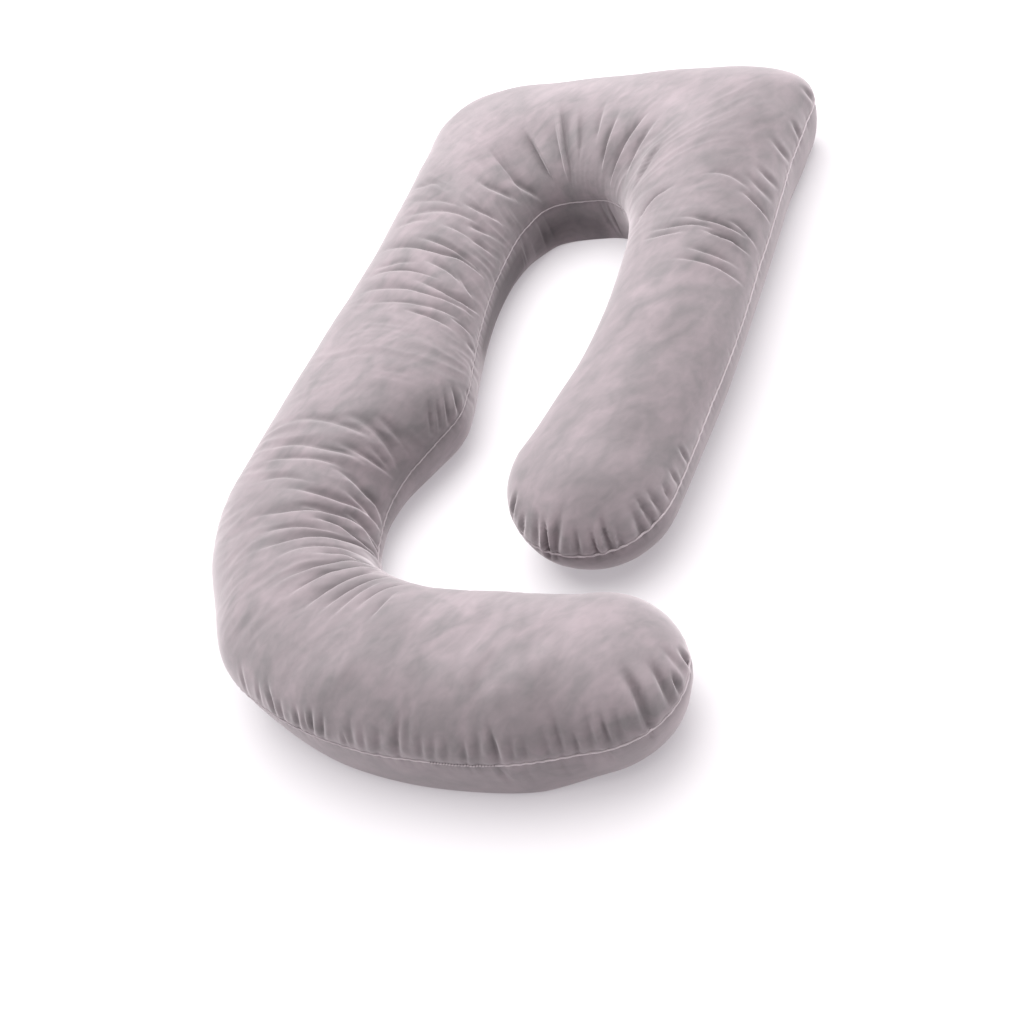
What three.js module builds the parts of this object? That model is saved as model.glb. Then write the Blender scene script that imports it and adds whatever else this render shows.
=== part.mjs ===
// A full-body pillow: two velvet panels of one G-shaped cut, sewn together round the rim and filled.
// It lies on the floor with its head end towards +Y, the short arm at +X and the hook at -Y.
// Millimetres, +Z up. The origin is on the floor, in the middle of the pillow's box.
import * as THREE from "three";

const { lerp, smoothstep } = THREE.MathUtils;

// Driving sizes of the filled cover
const FULLNESS = 2.25; // roundness of the crown: 2 is an ellipse, more is squarer
const UNDER_FULLNESS = 2.1; // the same for the side below the seam
const TIP_FULLNESS = 2.1; // the same for the two ends in plan
const TIP_FLAT = 0.36; // share of a round end's reach that lies on the floor
const SEAM_DRAW = 4; // how far the stitching draws the rim in
const SEAM_REACH = 9; // height above and below the seam over which it does
const ARM_TIP = 140; // round end of the short arm, past its first section
const HOOK_TIP = 138; // round end of the hook, past its last section

// Steps of the surface
const RING_STEP = 13.5; // along the pillow's middle line
const LINE_SAMPLES = 1200; // samples that measure the middle line
const TIP_RINGS = 17; // rings on each round end
const CROWN_STEPS = 16; // over the top, from rim to rim
const SIDE_STEPS = 3; // under the rim, down to the flat

// Velvet as it shows: warm mauve grey with a soft nap
const VELVET = { color: 0xb5a9ad, roughness: 0.85, metalness: 0 };

// Sections from the short arm's tip, round the head and down the long arm to the hook's tip.
// outer, inner: the rim seam on either side, in plan and above the floor; crown: height of the top;
// feet: how far inside the outer and the inner seam the pillow meets the floor.
const SECTIONS = [
  { outer: [332, -244, 86], inner: [64, -228, 88], crown: 186, feet: [92, 80] },
  { outer: [340, -120, 90], inner: [95, -120, 92], crown: 188, feet: [84, 76] },
  { outer: [345, 10, 92], inner: [114, 0, 92], crown: 188, feet: [76, 72] },
  { outer: [343, 180, 92], inner: [113, 150, 92], crown: 188, feet: [68, 70] },
  { outer: [339, 340, 92], inner: [95, 280, 92], crown: 190, feet: [62, 60] },
  { outer: [335, 460, 92], inner: [76, 330, 92], crown: 194, feet: [56, 45] },
  { outer: [337, 570, 92], inner: [56, 362, 92], crown: 194, feet: [50, 30] },
  { outer: [328, 655, 92], inner: [34, 385, 92], crown: 194, feet: [44, 15] },
  { outer: [240, 693, 92], inner: [12, 399, 92], crown: 194, feet: [33, 6] },
  { outer: [110, 705, 92], inner: [-8, 404, 92], crown: 194, feet: [26, 4] },
  { outer: [-20, 707, 92], inner: [-36, 404, 92], crown: 194, feet: [24, 4] },
  { outer: [-160, 709, 92], inner: [-64, 403, 92], crown: 194, feet: [29, 4] },
  { outer: [-280, 708, 92], inner: [-90, 397, 92], crown: 194, feet: [40, 8] },
  { outer: [-366, 675, 92], inner: [-112, 383, 92], crown: 194, feet: [55, 16] },
  { outer: [-401, 602, 92], inner: [-127, 352, 92], crown: 195, feet: [65, 30] },
  { outer: [-402, 500, 92], inner: [-138, 315, 92], crown: 194, feet: [65, 45] },
  { outer: [-399, 390, 92], inner: [-143, 260, 92], crown: 192, feet: [66, 60] },
  { outer: [-398, 290, 92], inner: [-141, 190, 92], crown: 190, feet: [70, 70] },
  { outer: [-403, 170, 92], inner: [-131, 115, 92], crown: 190, feet: [74, 74] },
  { outer: [-414, 40, 92], inner: [-113, 25, 92], crown: 192, feet: [80, 76] },
  { outer: [-422, -70, 92], inner: [-93, -60, 92], crown: 196, feet: [85, 76] },
  { outer: [-427, -130, 92], inner: [-90, -108, 90], crown: 196, feet: [83, 80] },
  { outer: [-430, -200, 92], inner: [-116, -166, 84], crown: 194, feet: [74, 84] },
  { outer: [-432, -270, 92], inner: [-148, -229, 75], crown: 192, feet: [69, 84] },
  { outer: [-432, -330, 92], inner: [-162, -283, 65], crown: 192, feet: [61, 80] },
  { outer: [-421, -397, 92], inner: [-161, -329, 57], crown: 192, feet: [53, 72] },
  { outer: [-394, -466, 92], inner: [-149, -373, 55], crown: 194, feet: [42, 62] },
  { outer: [-341, -550, 92], inner: [-120, -411, 60], crown: 196, feet: [29, 50] },
  { outer: [-282, -634, 92], inner: [-72, -439, 76], crown: 196, feet: [22, 40] },
  { outer: [-192, -683, 96], inner: [-20, -459, 88], crown: 194, feet: [16, 34] },
  { outer: [-89, -717, 96], inner: [30, -468, 92], crown: 192, feet: [12, 32] },
  { outer: [23, -733, 96], inner: [90, -468, 92], crown: 190, feet: [12, 32] },
  { outer: [133, -733, 96], inner: [160, -465, 92], crown: 188, feet: [13, 32] },
  { outer: [240, -721, 96], inner: [218, -465, 92], crown: 188, feet: [17, 40] },
  { outer: [332, -691, 93], inner: [272, -463, 92], crown: 188, feet: [36, 46] },
];
const LAST = SECTIONS.length - 1;

// Folds that run in from a rim side by side, a row for each place where the cover is gathered.
// rim: 1 for the outer seam, -1 for the inner one; from, to: stations between which they lie;
// folds: how many; reach: how far they run, as a share of the way across; deepest: where they are
// deepest, as a share of the reach; depth: millimetres there; slant: stations by which a fold shifts
// on its way across.
const GATHERS = [
  // Short arm, by its tip
  { rim: 1, from: 0.2, to: 2.2, folds: 4, reach: 0.24, deepest: 0.2, depth: 4, slant: 0 },
  // Inner shoulder between the short arm and the head
  { rim: -1, from: 3.4, to: 6.6, folds: 5, reach: 0.7, deepest: 0.25, depth: 9, slant: -1.4 },
  // Outer corner of the head
  { rim: 1, from: 3.8, to: 8.2, folds: 7, reach: 0.3, deepest: 0.25, depth: 8, slant: 0.3 },
  // Inside of the head
  { rim: -1, from: 7, to: 13, folds: 9, reach: 0.66, deepest: 0.2, depth: 9, slant: 0.4 },
  // Long arm, right across it
  { rim: -1, from: 13, to: 19.8, folds: 15, reach: 0.9, deepest: 0.4, depth: 9, slant: -0.5 },
  // Bulge on the inside of the long arm
  { rim: -1, from: 20, to: 22.4, folds: 4, reach: 0.34, deepest: 0.2, depth: 7, slant: 0 },
  // Inside of the bend into the hook
  { rim: -1, from: 22.2, to: 29, folds: 13, reach: 0.8, deepest: 0.3, depth: 15, slant: 0 },
  // Outer seam of the hook
  { rim: 1, from: 26.4, to: 34, folds: 17, reach: 0.36, deepest: 0.25, depth: 8, slant: -0.2 },
];

// The same on the round ends, where they run in from all round the tip
const ARM_TIP_GATHERS = { folds: 9, reach: 0.6, deepest: 0.35, depth: 6 };
const HOOK_TIP_GATHERS = { folds: 8, reach: 0.6, deepest: 0.3, depth: 8 };

const TROUGH = 0.26; // half width of a fold's trough, in spacings
const RIM_DEPTH = 0.35; // depth of a fold at the seam, which holds it flat, as a share of its depth

// How single folds differ from their row: the spread is a share of its reach, spacing or depth
const UNEVEN_TURN = 2.4; // radians from one fold to the next
const UNEVEN_REACH = { spread: 0.25, phase: 1.7 };
const UNEVEN_PLACE = { spread: 0.2, phase: 3.4 };
const UNEVEN_DEPTH = { spread: 0.35, phase: 5.1 };

// Smooth curves through the sections: the two rims, and the crown with the two feet
const curveThrough = (knots) => new THREE.CatmullRomCurve3(knots.map((knot) => new THREE.Vector3(...knot)));
const outerRim = curveThrough(SECTIONS.map((row) => row.outer));
const innerRim = curveThrough(SECTIONS.map((row) => row.inner));
const filling = curveThrough(SECTIONS.map((row) => [row.crown, ...row.feet]));

// The section at a station, which counts rows of the table: 2.5 is halfway between rows 2 and 3
function sectionAt(station) {
  const outer = outerRim.getPoint(station / LAST);
  const inner = innerRim.getPoint(station / LAST);
  const { x: crown, y: outerFoot, z: innerFoot } = filling.getPoint(station / LAST);
  const across = new THREE.Vector2((outer.x - inner.x) / 2, (outer.y - inner.y) / 2);
  const half = across.length();
  return {
    station,
    middle: new THREE.Vector2((outer.x + inner.x) / 2, (outer.y + inner.y) / 2),
    across,
    crown,
    seams: { outer: outer.z, inner: inner.z },
    flats: { outer: 1 - outerFoot / half, inner: 1 - innerFoot / half },
    along: new THREE.Vector2(),
    tip: 0,
  };
}

// Height of the seam level at a place of a section, from -1 at the inner rim to 1 at the outer one
const seamHeight = ({ seams }, place) => lerp(seams.inner, seams.outer, (1 + place) / 2);

// Share of the half width that lies on the floor on that side, and towards the tip of a round end
function flatShare({ flats, tip }, place) {
  const side = place < 0 ? flats.inner : flats.outer;
  const share = tip > 0 ? lerp(flats.inner, flats.outer, (1 + place) / 2) : side;
  return lerp(share, TIP_FLAT, tip);
}

// Stations at even steps along the middle line
function evenStations() {
  const lengths = [0];
  let last = sectionAt(0).middle;
  for (let i = 1; i <= LINE_SAMPLES; i++) {
    const { middle } = sectionAt((LAST * i) / LINE_SAMPLES);
    lengths.push(lengths[i - 1] + middle.distanceTo(last));
    last = middle;
  }
  const whole = lengths[LINE_SAMPLES];
  const count = Math.round(whole / RING_STEP);
  const stations = [];
  let i = 0;
  for (let n = 0; n <= count; n++) {
    const wanted = (whole * n) / count;
    while (i + 1 < LINE_SAMPLES && lengths[i + 1] < wanted) i++;
    const share = (wanted - lengths[i]) / (lengths[i + 1] - lengths[i]);
    stations.push((LAST * (i + share)) / LINE_SAMPLES);
  }
  return stations;
}

// Rings of a round end, from its section out to the tip; turn is 1 where the end lies a quarter turn
// counter-clockwise from the way to the outer rim, and -1 where it lies clockwise
function tipRings(station, reach, turn, gathers) {
  const root = sectionAt(station);
  const along = new THREE.Vector2(-root.across.y, root.across.x).normalize().multiplyScalar(turn * reach);
  const rings = [];
  for (let i = 1; i < TIP_RINGS; i++) {
    rings.push({ ...root, along, gathers, tip: Math.sin((Math.PI / 2) * (i / TIP_RINGS)) });
  }
  const end = root.middle.clone().add(along);
  return { rings, end: new THREE.Vector3(end.x, end.y, seamHeight(root, 0)) };
}

// Height of the top panel above the seam and of the lower one above the floor, as shares,
// by the distance from the middle as a share of the half width
const crownShare = (share) => (1 - share ** FULLNESS) ** (1 / FULLNESS);
function underShare(share, flat) {
  const rise = Math.max(0, share - flat) / (1 - flat);
  return 1 - (1 - rise ** UNDER_FULLNESS) ** (1 / UNDER_FULLNESS);
}

// Places round a ring, from the outer rim over the crown to the inner rim and back under the pillow.
// over: share of the way across; lean: distance from the middle as a share of the half width,
// for the lower panel as a share of what lies outside the flat.
function ringPlaces() {
  const places = [];
  for (let i = 0; i <= CROWN_STEPS; i++) {
    const lean = Math.cos((Math.PI * i) / CROWN_STEPS);
    places.push({
      top: true,
      over: i / CROWN_STEPS,
      lean: Math.sign(lean) * Math.abs(lean) ** (2 / FULLNESS),
    });
  }
  const under = [];
  for (let i = 0; i < SIDE_STEPS; i++) {
    under.push(Math.sin((Math.PI / 2) * (i / SIDE_STEPS)) ** (2 / UNDER_FULLNESS));
  }
  [...under].reverse().forEach((lean) => places.push({ top: false, over: 1, side: -1, lean }));
  places.push({ top: false, over: 0, side: 0, lean: 0 });
  under.forEach((lean) => places.push({ top: false, over: 0, side: 1, lean }));
  return places;
}
const PLACES = ringPlaces();

// A share between -1 and 1 that varies from fold to fold, times the spread of that kind
const uneven = (fold, { spread, phase }) => spread * Math.sin(UNEVEN_TURN * fold + phase);

// Depth of a row of folds: count is the place along the row in spacings, inward the way in from
// the rim as a share of the folds' reach
function rowDepth({ folds, deepest, depth }, count, inward) {
  let sum = 0;
  for (let fold = 0; fold < folds; fold++) {
    const way = inward / (1 + uneven(fold, UNEVEN_REACH));
    const aside = (count - fold - 0.5 - uneven(fold, UNEVEN_PLACE)) / TROUGH;
    if (way >= 1) continue;
    const rise = RIM_DEPTH + (1 - RIM_DEPTH) * smoothstep(way, 0, deepest);
    const run = rise * (1 - smoothstep(way, deepest, 1));
    sum += depth * (1 + uneven(fold, UNEVEN_DEPTH)) * run * Math.exp(-(aside ** 2));
  }
  return sum;
}

// Depth of all folds at a place of a ring; share is the distance from the middle of a round end
function foldDepth(ring, over, lean, share) {
  if (ring.gathers) {
    const round = Math.atan2(ring.tip, lean) / Math.PI;
    return rowDepth(ring.gathers, round * ring.gathers.folds, (1 - share) / ring.gathers.reach);
  }
  return GATHERS.reduce((sum, row) => {
    const inward = row.rim > 0 ? over : 1 - over;
    const count = ((ring.station - row.slant * inward - row.from) / (row.to - row.from)) * row.folds;
    return sum + rowDepth(row, count, inward / row.reach);
  }, 0);
}

// One point of the filled cover
function coverPoint(ring, { top, over, side, lean }) {
  const flatOf = side < 0 ? ring.flats.inner : ring.flats.outer;
  const place = top ? lean : side * lerp(flatOf, 1, lean);
  const seam = seamHeight(ring, place);
  const narrow = (1 - ring.tip ** TIP_FULLNESS) ** (1 / TIP_FULLNESS);
  const wide = Math.abs(place) * narrow;
  const share = Math.min(1, (ring.tip ** TIP_FULLNESS + wide ** TIP_FULLNESS) ** (1 / TIP_FULLNESS));
  const height = top
    ? lerp(seam, ring.crown, crownShare(share))
    : seam * underShare(share, flatShare(ring, place));
  const out = ring.across.clone().multiplyScalar(place * narrow).addScaledVector(ring.along, ring.tip);
  const size = out.length();
  const draw = SEAM_DRAW * Math.exp(-(((height - seam) / SEAM_REACH) ** 2));
  if (size > draw) out.multiplyScalar((size - draw) / size);

  // Folds press the point towards the middle of the section; the side below the seam loses them downwards
  const held = top ? 1 : height / seam;
  const fold = held * foldDepth(ring, over, place * narrow, top ? share : 1);
  const arm = new THREE.Vector3(out.x, out.y, height - seam);
  arm.setLength(arm.length() - fold);
  return arm.add(new THREE.Vector3(ring.middle.x, ring.middle.y, seam));
}

// The closed surface: rings joined by quads, with a fan of triangles on each tip
function pillowGeometry() {
  const arm = tipRings(0, ARM_TIP, -1, ARM_TIP_GATHERS);
  const hook = tipRings(LAST, HOOK_TIP, 1, HOOK_TIP_GATHERS);
  const rings = [...arm.rings.reverse(), ...evenStations().map(sectionAt), ...hook.rings];
  const points = rings.flatMap((ring) => PLACES.map((place) => coverPoint(ring, place)));
  const armEnd = points.push(arm.end) - 1;
  const hookEnd = points.push(hook.end) - 1;

  const faces = [];
  const count = PLACES.length;
  const at = (ring, place) => ring * count + (place % count);
  for (let ring = 0; ring + 1 < rings.length; ring++) {
    for (let place = 0; place < count; place++) {
      const [a, b] = [at(ring, place), at(ring, place + 1)];
      const [c, d] = [at(ring + 1, place + 1), at(ring + 1, place)];
      faces.push(a, c, b, a, d, c);
    }
  }
  for (let place = 0; place < count; place++) {
    faces.push(armEnd, at(0, place), at(0, place + 1));
    faces.push(hookEnd, at(rings.length - 1, place + 1), at(rings.length - 1, place));
  }
  return new THREE.BufferGeometry().setFromPoints(points).setIndex(faces);
}

const geometry = pillowGeometry();
geometry.computeBoundingBox();
const middle = geometry.boundingBox.getCenter(new THREE.Vector3());
geometry.translate(-middle.x, -middle.y, 0);
geometry.computeVertexNormals();

const filledCover = new THREE.Mesh(geometry, new THREE.MeshStandardMaterial(VELVET));
filledCover.name = "filled_cover";

const pillow = new THREE.Group();
pillow.add(filledCover);
export default pillow;
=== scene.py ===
import math

import bpy
import numpy as np
from mathutils import Matrix, Vector, kdtree, noise
from mathutils.bvhtree import BVHTree


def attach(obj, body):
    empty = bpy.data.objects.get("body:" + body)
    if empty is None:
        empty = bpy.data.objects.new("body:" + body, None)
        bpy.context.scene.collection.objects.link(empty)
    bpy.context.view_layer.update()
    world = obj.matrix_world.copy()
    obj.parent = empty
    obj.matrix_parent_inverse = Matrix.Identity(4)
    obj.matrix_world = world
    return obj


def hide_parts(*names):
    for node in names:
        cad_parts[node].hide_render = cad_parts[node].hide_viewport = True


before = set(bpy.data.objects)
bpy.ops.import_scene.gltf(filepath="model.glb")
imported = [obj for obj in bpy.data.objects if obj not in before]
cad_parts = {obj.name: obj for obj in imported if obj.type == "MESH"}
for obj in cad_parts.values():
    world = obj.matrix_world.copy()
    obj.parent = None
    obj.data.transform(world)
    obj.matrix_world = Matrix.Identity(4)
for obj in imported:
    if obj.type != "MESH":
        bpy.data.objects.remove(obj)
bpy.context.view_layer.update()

MM = 0.001
UP = np.array([0.0, 0.0, 1.0])

# Driving sizes of the filled cover, in millimetres
FULLNESS = 2.25  # roundness of the crown: 2 is an ellipse, more is squarer
UNDER_FULLNESS = 2.1  # the same for the side below the seam
TIP_FULLNESS = 2.1  # the same for the two ends in plan
TIP_FLAT = 0.36  # share of a round end's reach that lies on the floor
SEAM_DRAW = 2  # how far the stitching draws the rim in
LOWER_DRAW = 1.5  # how far the lower panel stays drawn in below it
SEAM_REACH = 9  # height above and below the seam over which the rim is drawn in
ARM_TIP = 140  # round end of the short arm, past its first section
HOOK_TIP = 138  # round end of the hook, past its last section
BOX_MIDDLE = np.array([3.25, -12.12])  # middle of the pillow's box in the table's own plan

# Steps of the velvet surface
RING_STEP = 2.7  # along the pillow's middle line, fine because most folds run across it
LINE_SAMPLES = 4000  # samples that measure the middle line
TIP_RINGS = 45  # rings on each round end
CROWN_STEPS = 66  # over the top, from rim to rim
SIDE_STEPS = 7  # under the rim, down to the flat
RIM_CROWDING = 0.5  # share of the steps over the top that crowd towards the rims, for a crisp seam
CROWDING_POWER = 1.6  # how closely they crowd there

# Sections from the short arm's tip, round the head and down the long arm to the hook's tip:
# the rim seam on the outer side, x, y and height, then on the inner side; height of the crown;
# how far inside the outer and the inner seam the pillow meets the floor.
SECTIONS = np.array([
    (332, -244, 86, 64, -228, 88, 186, 92, 80),
    (340, -120, 90, 95, -120, 92, 188, 84, 76),
    (345, 10, 92, 114, 0, 92, 188, 76, 72),
    (343, 180, 92, 113, 150, 92, 188, 68, 70),
    (339, 340, 92, 95, 280, 92, 190, 62, 60),
    (335, 460, 92, 76, 330, 92, 194, 56, 45),
    (337, 570, 92, 56, 362, 92, 194, 50, 30),
    (328, 655, 92, 34, 385, 92, 194, 44, 15),
    (240, 693, 92, 12, 399, 92, 194, 33, 6),
    (110, 705, 92, -8, 404, 92, 194, 26, 4),
    (-20, 707, 92, -36, 404, 92, 194, 24, 4),
    (-160, 709, 92, -64, 403, 92, 194, 29, 4),
    (-280, 708, 92, -90, 397, 92, 194, 40, 8),
    (-366, 675, 92, -112, 383, 92, 194, 55, 16),
    (-401, 602, 92, -127, 352, 92, 195, 65, 30),
    (-402, 500, 92, -138, 315, 92, 194, 65, 45),
    (-399, 390, 92, -143, 260, 92, 192, 66, 60),
    (-398, 290, 92, -141, 190, 92, 190, 70, 70),
    (-403, 170, 92, -131, 115, 92, 190, 74, 74),
    (-414, 40, 92, -113, 25, 92, 192, 80, 76),
    (-422, -70, 92, -93, -60, 92, 196, 85, 76),
    (-427, -130, 92, -90, -108, 90, 196, 83, 80),
    (-430, -200, 92, -116, -166, 84, 194, 74, 84),
    (-432, -270, 92, -148, -229, 75, 192, 69, 84),
    (-432, -330, 92, -162, -283, 65, 192, 61, 80),
    (-421, -397, 92, -161, -329, 57, 192, 53, 72),
    (-394, -466, 92, -149, -373, 55, 194, 42, 62),
    (-341, -550, 92, -120, -411, 60, 196, 29, 50),
    (-282, -634, 92, -72, -439, 76, 196, 22, 40),
    (-192, -683, 96, -20, -459, 88, 194, 16, 34),
    (-89, -717, 96, 30, -468, 92, 192, 12, 32),
    (23, -733, 96, 90, -468, 92, 190, 12, 32),
    (133, -733, 96, 160, -465, 92, 188, 13, 32),
    (240, -721, 96, 218, -465, 92, 188, 17, 40),
    (332, -691, 93, 272, -463, 92, 188, 36, 46),
])
LAST = len(SECTIONS) - 1

# The camera stands where the photograph was taken from, held with a roll
IMAGE = 1024  # pixels, both ways
FOCAL = 1500  # pixels
SENSOR = 36  # millimetres
CAMERA_PLACE = Vector((1.1701, -1.4902, 1.6618))
CAMERA_HEADING = math.radians(42.36)  # from +Y towards -X
CAMERA_PITCH = math.radians(44)  # down
CAMERA_ROLL = math.radians(30)

# Folds of the cover: height and width in millimetres, then pixels of the photograph along the crest,
# from the fold's free end to where it is gathered. The crease lies on the left of that way,
# and on its right where the width is negative.
FOLDS = [
    # Inside of the bend into the hook, a fan that runs together at the inner seam
    (4, 17, (286, 424), (308, 420), (330, 424), (350, 430), (368, 439)),
    (5, 16, (338, 413), (356, 421), (372, 432), (384, 446), (394, 463)),
    (3, 12, (368, 411), (382, 423), (392, 434), (404, 449)),
    (5, 16, (262, 453), (282, 447), (302, 446), (324, 450), (342, 454), (358, 461)),
    (5, 13, (329, 439), (346, 448), (360, 456), (374, 465), (388, 475)),
    (4, 15, (256, 466), (274, 460), (298, 459), (320, 461), (340, 467)),
    (3, 10, (366, 444), (378, 457), (388, 469)),
    (5, 13, (322, 466), (338, 472), (350, 481), (364, 494), (376, 507), (381, 521)),
    (3, 14, (258, 484), (280, 478), (304, 481)),
    (7, 14, (272, 490), (300, 491), (322, 496), (340, 502), (356, 508), (370, 518)),
    (5, 11, (340, 488), (354, 499), (365, 509), (378, 528)),
    (4, 11, (296, 505), (314, 507), (330, 511)),
    (7, 16, (244, 523), (262, 516), (284, 513), (310, 511), (332, 514), (350, 520), (364, 531), (379, 556)),
    (5, 10, (342, 510), (356, 519), (366, 528), (377, 546)),
    (7, 13, (304, 519), (324, 521), (340, 527), (354, 537), (372, 551)),
    (4, 14, (256, 537), (280, 529), (304, 527), (328, 530)),
    (8, 15, (256, 553), (270, 547), (286, 542), (304, 538), (322, 537), (342, 541), (362, 549), (379, 561)),
    (3, 15, (264, 566), (282, 556), (300, 549), (322, 546), (342, 548), (360, 555)),
    (5, 11, (312, 554), (330, 553), (346, 555), (362, 561), (380, 569)),
    (6, 14, (276, 587), (296, 575), (312, 568), (330, 563), (352, 561), (372, 566)),
    (8, 14, (280, 607), (298, 591), (312, 582), (328, 574), (346, 570), (364, 568), (380, 570)),
    (7, 13, (298, 622), (312, 604), (326, 593), (342, 583), (358, 577), (374, 572)),
    (6, 12, (314, 620), (334, 602), (350, 591), (366, 583), (388, 577)),
    (3, 11, (328, 624), (344, 607), (360, 593), (376, 584)),
    (4, 13, (354, 614), (370, 598), (384, 590), (402, 585)),
    (3, 13, (370, 622), (380, 609), (393, 595)),
    # Long arm, right across it
    (8, 15, (370, 261), (388, 250), (406, 248), (424, 251), (440, 255), (458, 260), (476, 272)),
    (7, 12, (412, 240), (426, 240), (438, 244), (450, 249), (462, 256), (475, 267)),
    (5, 15, (398, 222), (412, 216), (428, 213), (444, 212), (458, 215), (472, 220)),
    (3, 12, (392, 232), (404, 226), (414, 222), (428, 220)),
    (5, 12, (464, 227), (476, 230), (490, 236)),
    (5, 13, (473, 182), (493, 191), (515, 200)),
    (3, 15, (409, 193), (424, 187), (442, 182)),
    (5, 12, (366, 279), (382, 273), (398, 271), (414, 272), (430, 276)),
    (7, 13, (410, 279), (424, 284), (438, 290), (450, 297), (464, 305), (472, 310)),
    (5, 15, (352, 299), (370, 291), (390, 289), (408, 290), (426, 295), (444, 301), (466, 312)),
    (3, 13, (354, 309), (381, 303), (406, 303), (432, 308)),
    (4, 12, (398, 309), (414, 313), (430, 318), (446, 326)),
    (3, 13, (452, 266), (462, 283), (471, 298)),
    (5, 13, (456, 203), (470, 208), (484, 214), (499, 222)),
    (3, 11, (370, 273), (384, 267), (398, 263), (412, 262)),
    (4, 12, (420, 261), (436, 266), (449, 273), (459, 284)),
    (3, 11, (418, 304), (438, 310), (456, 318)),
    (3, 10, (446, 317), (460, 325), (470, 334)),
    (3, 11, (438, 226), (454, 230), (468, 237)),
    (3, 14, (410, 205), (426, 202), (441, 202), (456, 205)),
    (3, 11, (466, 239), (478, 245), (489, 253)),
    # Inside of the head
    (7, -13, (522, 126), (531, 138), (538, 150), (544, 162), (551, 175)),
    (9, 12, (557, 100), (560, 125), (563, 150), (569, 176)),
    (4, -14, (556, 112), (558, 132), (562, 152), (566, 172)),
    (4, 13, (576, 108), (577, 130), (578, 152)),
    (4, -12, (607, 100), (602, 118), (598, 136)),
    (7, -10, (622, 108), (613, 128), (607, 145), (603, 163)),
    (10, -13, (652, 110), (640, 123), (632, 134), (625, 146), (619, 159), (613, 174)),
    (8, -11, (660, 116), (649, 131), (641, 144), (635, 155), (629, 169)),
    (5, 12, (663, 140), (655, 147), (649, 156), (643, 167), (637, 180)),
    (6, -11, (678, 184), (664, 192), (654, 199), (646, 208), (640, 219)),
    (3, 14, (486, 150), (502, 168), (520, 190)),
    (5, 12, (503, 178), (520, 188), (538, 199)),
    # Shoulder of the short arm
    (8, 12, (674, 218), (690, 217), (702, 220), (714, 223), (727, 228), (739, 234)),
    (5, 13, (644, 233), (664, 229), (682, 226), (698, 226), (714, 230)),
    (7, 11, (696, 229), (708, 233), (720, 238), (732, 243), (743, 251)),
    (3, 11, (638, 242), (654, 238), (666, 235), (680, 233)),
    (4, 12, (724, 219), (736, 225), (745, 233), (753, 243)),
    (4, 12, (736, 189), (748, 198), (758, 208), (767, 219)),
    (3, 15, (698, 177), (718, 174), (734, 179), (748, 189)),
    (4, 14, (678, 246), (698, 251), (714, 256), (731, 264)),
    (4, 14, (666, 260), (684, 260), (702, 263), (720, 270), (736, 281)),
    # Inner wall of the head, below the seam
    (4, 8, (598, 206), (604, 217), (611, 227), (619, 237)),
    (4, 7, (606, 206), (611, 216), (617, 227), (622, 236)),
    (4, 9, (546, 217), (543, 234), (533, 256)),
    (3, 9, (552, 216), (549, 232), (540, 252)),
    (3, 9, (521, 239), (525, 256), (524, 268)),
]

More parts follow.
